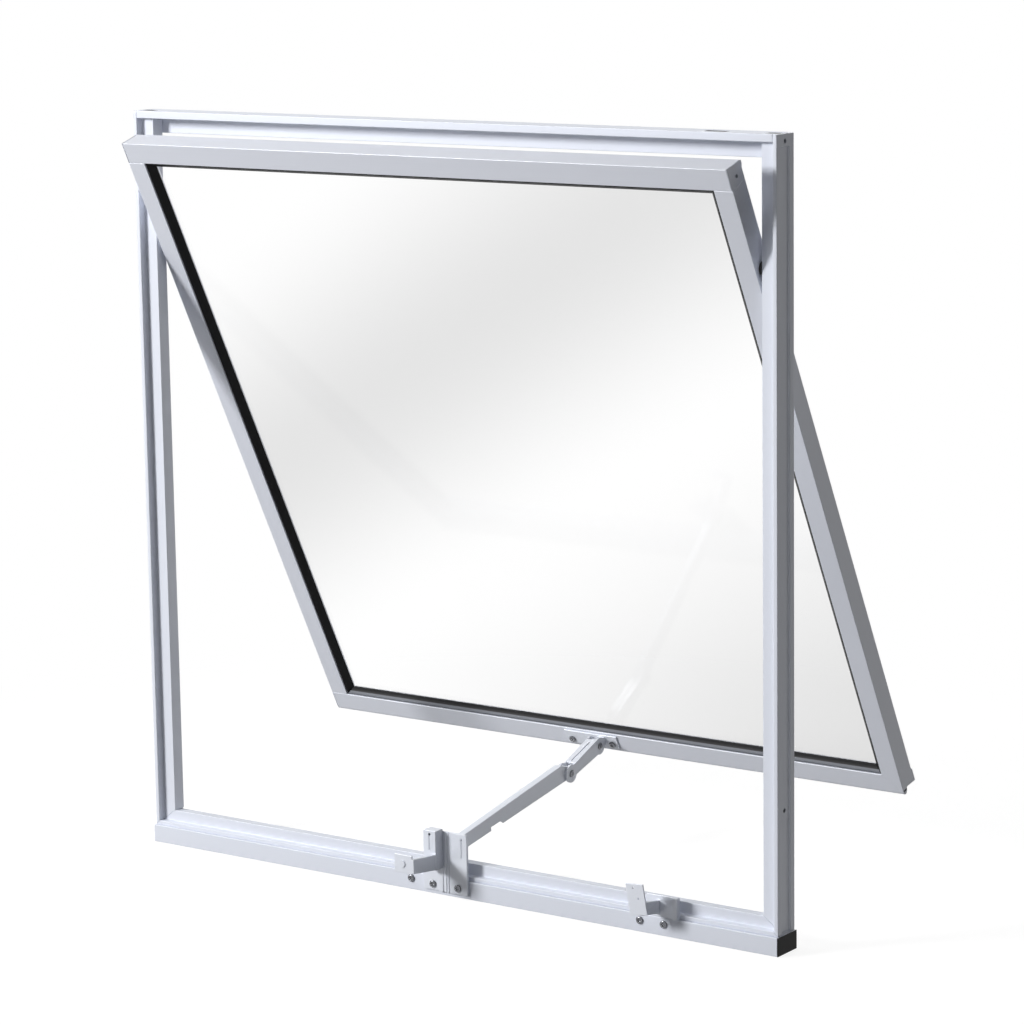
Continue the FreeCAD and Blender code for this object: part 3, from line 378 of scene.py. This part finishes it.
def finish(name, colour, metallic, roughness, clouding=0.03, depth=0.03, lines=900.0,
           relief=0.00001, stretch=(1, 1, 1), lean=0.0, gloss=0.5):
    """A surface finish; stretch below 1 draws its lines out along that axis, after a lean about X."""
    material = bpy.data.materials.new(name)
    material.use_nodes = True
    tree = material.node_tree
    shader = tree.nodes["Principled BSDF"]
    shader.inputs["Metallic"].default_value = metallic
    shader.inputs["Specular IOR Level"].default_value = gloss
    place = tree.nodes.new("ShaderNodeTexCoord")
    draw = tree.nodes.new("ShaderNodeMapping")
    draw.inputs["Rotation"].default_value = (lean, 0, 0)
    draw.inputs["Scale"].default_value = stretch
    tree.links.new(place.outputs["Object"], draw.inputs["Vector"])
    look = tree.nodes.new("ShaderNodeGroup")
    look.node_tree = DRAWN
    look.inputs["Colour"].default_value = (*colour, 1)
    look.inputs["Lines"].default_value = lines
    look.inputs["Line depth"].default_value = depth
    look.inputs["Clouding"].default_value = clouding
    look.inputs["Roughness"].default_value = roughness
    tree.links.new(draw.outputs["Vector"], look.inputs["Place"])
    tree.links.new(look.outputs["Colour"], shader.inputs["Base Color"])
    tree.links.new(look.outputs["Roughness"], shader.inputs["Roughness"])
    raised = tree.nodes.new("ShaderNodeBump")
    raised.inputs["Strength"].default_value = RELIEF
    raised.inputs["Distance"].default_value = relief
    tree.links.new(look.outputs["Height"], raised.inputs["Height"])
    tree.links.new(raised.outputs["Normal"], shader.inputs["Normal"])
    return material


def rubber_finish(name):
    """Matt black rubber with a little unevenness."""
    return finish(name, RUBBER_TONE, 0.0, 0.4, clouding=0.1, depth=0.2, lines=500.0, gloss=0.12)


def along_sash(tree, direction):
    """How far a point lies from the sash's top front edge along a direction."""
    place = tree.nodes.new("ShaderNodeTexCoord")
    move = tree.nodes.new("ShaderNodeVectorMath")
    move.operation = "SUBTRACT"
    move.inputs[1].default_value = SASH_TOP
    tree.links.new(place.outputs["Object"], move.inputs[0])
    along = tree.nodes.new("ShaderNodeVectorMath")
    along.operation = "DOT_PRODUCT"
    along.inputs[1].default_value = direction
    tree.links.new(move.outputs[0], along.inputs[0])
    return along.outputs["Value"]


def rubber_with_painted_lip():
    """The bottom gasket's look: black at the glass, and in front of it a grey glazing lip painted on,
    darkened as shade.
    """
    material = rubber_finish("bottom gasket")
    tree = material.node_tree
    deep = along_sash(tree, SASH_IN)
    tone = tree.nodes.new("ShaderNodeMix")
    tone.data_type = "RGBA"
    tone.inputs["A"].default_value = (*RUBBER_TONE, 1)
    tone.inputs["B"].default_value = (*LIP_SHADE_TONE, 1)
    tree.links.new(ranged(tree, deep, LIP_DEEP + LIP_EASE, LIP_DEEP - LIP_EASE), tone.inputs["Factor"])
    tree.links.new(tone.outputs["Result"], tree.nodes["Principled BSDF"].inputs["Base Color"])
    return material


def pane_glass():
    """Clear float glass with soft slanting stripes of painted reflection greying its colour across the
    pane.
    """
    material = bpy.data.materials.new("clear glass")
    material.use_nodes = True
    tree = material.node_tree
    shader = tree.nodes["Principled BSDF"]
    shader.inputs["Roughness"].default_value = 0.0
    shader.inputs["IOR"].default_value = GLASS_INDEX
    shader.inputs["Specular IOR Level"].default_value = GLASS_GLOSS
    shader.inputs["Transmission Weight"].default_value = 1.0
    height = along_sash(tree, SASH_UP + Vector((-REFLECTION_SLANT, 0, 0)))
    # The greys of this ramp are painted reflection, laid into the glass's colour
    reflection_ramp = tree.nodes.new("ShaderNodeValToRGB")
    reflection_ramp.color_ramp.interpolation = "EASE"
    stops = reflection_ramp.color_ramp.elements
    for stop, (spot, tone) in zip(stops, REFLECTION_ENDS):
        stop.position = (spot - REFLECTION_LOW) / (REFLECTION_TOP - REFLECTION_LOW)
        stop.color = (tone, tone, tone, 1)
    for spot, tone in REFLECTION_BETWEEN:
        stop = stops.new((spot - REFLECTION_LOW) / (REFLECTION_TOP - REFLECTION_LOW))
        stop.color = (tone, tone, tone, 1)
    tree.links.new(ranged(tree, height, REFLECTION_LOW, REFLECTION_TOP), reflection_ramp.inputs["Fac"])
    tree.links.new(reflection_ramp.outputs["Color"], shader.inputs["Base Color"])
    return material


def dress(names, material):
    """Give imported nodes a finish."""
    for name in names:
        node = nodes[name]
        node.data.materials.clear()
        node.data.materials.append(material)


def add_piece(name, mesh, material, *stands_for):
    """Put a mesh in the scene as a piece of the window that stands for its CAD nodes."""
    mesh.materials.clear()
    for one in material if isinstance(material, tuple) else (material,):
        mesh.materials.append(one)
    piece = bpy.data.objects.new(name, mesh)
    bpy.context.scene.collection.objects.link(piece)
    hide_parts(*stands_for)
    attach(piece, BODY)
    return piece


def softened(name, radius, material, steps=EDGE_STEPS):
    """A merged copy of a node whose longer sharp edges are rounded to the radius."""
    work = bmesh.new()
    work.from_mesh(nodes[name].data)
    bmesh.ops.remove_doubles(work, verts=work.verts, dist=SAME_POINT)
    bmesh.ops.dissolve_limit(work, angle_limit=SAME_FACE, verts=work.verts, edges=work.edges)
    weight = work.edges.layers.float.new("bevel_weight_edge")
    for edge in work.edges:
        sharp = edge.is_manifold and edge.calc_face_angle(0.0) > SHARP_TURN
        if sharp and edge.calc_length() > SHORTEST_ROUNDED:
            edge[weight] = 1.0
        edge.smooth = not sharp or edge[weight] > 0
    for face in work.faces:
        face.smooth = True
    mesh = bpy.data.meshes.new(name + "_finished")
    work.to_mesh(mesh)
    work.free()
    piece = add_piece(name + "_finished", mesh, material, name)
    bevel = piece.modifiers.new("edges", "BEVEL")
    bevel.limit_method = "WEIGHT"
    bevel.width = radius
    bevel.segments = steps
    bevel.use_clamp_overlap = False
    shade = piece.modifiers.new("shading", "WEIGHTED_NORMAL")
    shade.mode = "FACE_AREA"
    shade.weight = 100
    shade.keep_sharp = True


def top_face(name, facing):
    """The middle of a node's furthest flat end in a direction."""
    points = np.array([v.co for v in nodes[name].data.vertices])
    height = points @ np.array(facing)
    end = points[height > height.max() - FLAT_END]
    return Vector((end.min(axis=0) + end.max(axis=0)) / 2)


def turned(at, facing, profile, spokes, recess=None):
    """A round shape: (radius, height) rows, from the middle outwards, turned about the facing axis.

    Each row is a ring, radius times (cos, sin) across the axis and its height along it, less what
    recess gives for that x and y. One face closes the first ring and one the last. x runs along X
    unless the axis does. Gives the points, the faces with four corners, the two end faces, and
    which points are sunk enough to take painted shade.
    """
    axis = Vector(facing).normalized()
    side = axis.orthogonal().normalized()
    if abs(axis.x) < 0.5:
        side = Vector((1, 0, 0))
    other = axis.cross(side)
    radius, height = np.array(profile).T
    turn = np.linspace(0, 2 * math.pi, spokes, endpoint=False)
    x = radius[:, None] * np.cos(turn)
    y = radius[:, None] * np.sin(turn)
    rise = np.repeat(height[:, None], spokes, axis=1)
    sunk = recess(x, y) if recess else np.zeros_like(rise)
    points = (np.array(at)
              + x[..., None] * np.array(side)
              + y[..., None] * np.array(other)
              + (rise - sunk)[..., None] * np.array(axis))
    index = np.arange(len(radius) * spokes).reshape(len(radius), spokes)
    near, far = index[:-1], index[1:]
    quads = np.stack([near, far, np.roll(far, -1, axis=1), np.roll(near, -1, axis=1)], axis=-1)
    ends = np.stack([index[0], index[-1][::-1]])
    return points.reshape(-1, 3), quads.reshape(-1, 4), ends, sunk.reshape(-1) > SUNK_FOR_SHADE


def cross_recess(x, y):
    """How far a cross drive is sunk at x, y: whole depth inside either bar, easing over its edge."""
    small = np.minimum(np.abs(x), np.abs(y))
    large = np.maximum(np.abs(x), np.abs(y))
    inside = np.clip((CROSS_HALF - small) / CROSS_EASE + 0.5, 0, 1)
    within = np.clip((CROSS_ARM - large) / CROSS_EASE + 0.5, 0, 1)
    return CROSS_DEEP * inside * within


def dimple(x, y):
    """How far a round dimple is sunk at x, y: whole depth in its circle, easing over its edge."""
    return DIMPLE_DEEP * np.clip((DIMPLE_R - np.hypot(x, y)) / DIMPLE_EASE + 0.5, 0, 1)


def pan_profile(radius, tall):
    """A pan head's outline: a dome that falls as the fourth power of the radius, then its side."""
    share = np.linspace(FIRST_RING, 1.0, DOME_RINGS)
    dome = np.stack([radius * share, tall * (1 - DOME_FALL * share ** 4)], axis=1)
    side = np.array([(radius, tall * SIDE_END), (radius * FOOT_IN, 0.0)])
    return np.concatenate([dome, side])


def joined(shapes, name):
    """One mesh from several turned shapes; faces that are mostly sunk take the second finish, painted
    shade.
    """
    spots, faces, marks, base = [], [], [], 0
    for points, quads, ends, shade_painted in shapes:
        spots.append(points)
        faces.extend((quads + base).tolist())
        faces.extend((ends + base).tolist())
        marks.extend((shade_painted[quads].mean(axis=1) > SHADE_SHARE).astype(int).tolist())
        marks.extend([0] * len(ends))
        base += len(points)
    mesh = bpy.data.meshes.new(name)
    mesh.from_pydata(np.concatenate(spots).tolist(), [], faces)
    mesh.polygons.foreach_set("material_index", marks)
    mesh.polygons.foreach_set("use_smooth", [len(face) == 4 for face in faces])
    mesh.update()
    return mesh


def screw_head(name, facing):
    """A pan head whose cross recess takes painted shade, seated where the CAD head is."""
    at = top_face(name, facing) - HEAD_TALL * Vector(facing)
    head = turned(at, facing, pan_profile(HEAD_R, HEAD_TALL), HEAD_SPOKES, cross_recess)
    add_piece(name + "_head", joined([head], name + "_head"), (screw_metal, painted_recess_shade), name)


def rivet(name):
    """A rivet across the stay: a round dished head on each cheek and the shank between them."""
    low, high = (np.array(corner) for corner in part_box(name))
    middle = (low + high) / 2
    length = high[0] - low[0] - 2 * RIVET_TALL
    left = Vector((low[0] + RIVET_TALL, middle[1], middle[2]))
    right = Vector((high[0] - RIVET_TALL, middle[1], middle[2]))
    head = pan_profile(RIVET_R, RIVET_TALL)
    shank = ((SHANK_MIDDLE, 0.0), (SHANK_R, 0.0), (SHANK_R, -length))
    shapes = (turned(left, (-1, 0, 0), head, RIVET_SPOKES, dimple),
              turned(right, (1, 0, 0), head, RIVET_SPOKES, dimple),
              turned(right, (1, 0, 0), shank, SHANK_SPOKES))
    # The rivet dimples take the painted recess shade
    add_piece(name + "_rivet", joined(shapes, name + "_rivet"), (screw_metal, painted_recess_shade), name)


DRAWN = drawn_group()
aim_camera()
studio()
floor_plane()

# Finishes: bright anodised bars, cast and pressed fittings, steel, rubber and plastic
frame_across = finish("frame aluminium across", FRAME_TONE, 0.06, 0.42, stretch=ALONG_X, gloss=0.25)
frame_upright = finish("frame aluminium upright", FRAME_TONE, 0.06, 0.36, stretch=ALONG_Z)
sash_across = finish("sash aluminium across", SASH_TONE, 0.08, 0.32, stretch=ALONG_X)
sash_raking = finish("sash aluminium raking", SASH_TONE, 0.08, 0.32, stretch=ALONG_Z, lean=-OPEN)
fitting = finish("fitting coating", FITTING_TONE, 0.10, 0.32, clouding=0.04, lines=500.0, relief=0.00002)
screw_metal = finish("screw steel", STEEL_TONE, 0.9, 0.25, clouding=0.08, depth=0.04)
# Painted shade for the sunk faces of screw recesses and rivet dimples
painted_recess_shade = finish("recess shadow", RECESS_SHADE_TONE, 0.3, 0.5, clouding=0.1, depth=0.1, lines=700.0)
rubber = rubber_finish("black rubber")
black_plastic = finish("black plastic", PLASTIC_TONE, 0.0, 0.45, clouding=0.1, depth=0.1, lines=500.0,
                       relief=0.00002, gloss=0.08)
pivot_plastic = finish("pivot plastic", PIVOT_TONE, 0.0, 0.5, clouding=0.1, depth=0.1, lines=500.0,
                       relief=0.00002, gloss=0.2)

# Bars, brackets, arms and latches, with the radius of their edges
for names, radius, material in (
        (("frame_head", "frame_sill"), EXTRUDED_EDGE, frame_across),
        (("sub_sill",), SUB_SILL_EDGE, frame_across),
        (("frame_jamb_left", "frame_jamb_right"), EXTRUDED_EDGE, frame_upright),
        (("sash_top_rail", "sash_bottom_rail"), EXTRUDED_EDGE, sash_across),
        (("sash_stile_left", "sash_stile_right", "sash_top_cap_left", "sash_top_cap_right",
          "sash_low_cap_left"), EXTRUDED_EDGE, sash_raking),
        (("stay_base_bracket", "stay_long_arm", "stay_short_arm", "stay_sash_bracket",
          "latch_left", "latch_left_base", "latch_right", "latch_right_base"), PRESSED_EDGE, fitting)):
    for name in names:
        softened(name, radius, material)

# Gaskets, plastic ends and plugs, screws, and the stay's pins
for name in nodes:
    if name == "gasket_bottom":
        # The bottom gasket's front carries a grey lip in painted shade
        softened(name, GASKET_EDGE, rubber_with_painted_lip(), GASKET_STEPS)
    elif name.startswith("gasket_"):
        softened(name, GASKET_EDGE, rubber, GASKET_STEPS)
    elif name.startswith("end_cap") or "plug" in name:
        softened(name, MOULDED_EDGE, black_plastic)
    elif name.startswith("sash_screw"):
        screw_head(name, -SASH_IN)
    elif "screw" in name:
        screw_head(name, (0, -1, 0))
    elif name.startswith("stay_") and name.endswith("_pin"):
        rivet(name)
dress(["pivot_pin_left", "pivot_pin_right"], pivot_plastic)
dress(["glass_pane"], pane_glass())

bpy.context.scene.view_settings.view_transform = "Standard"
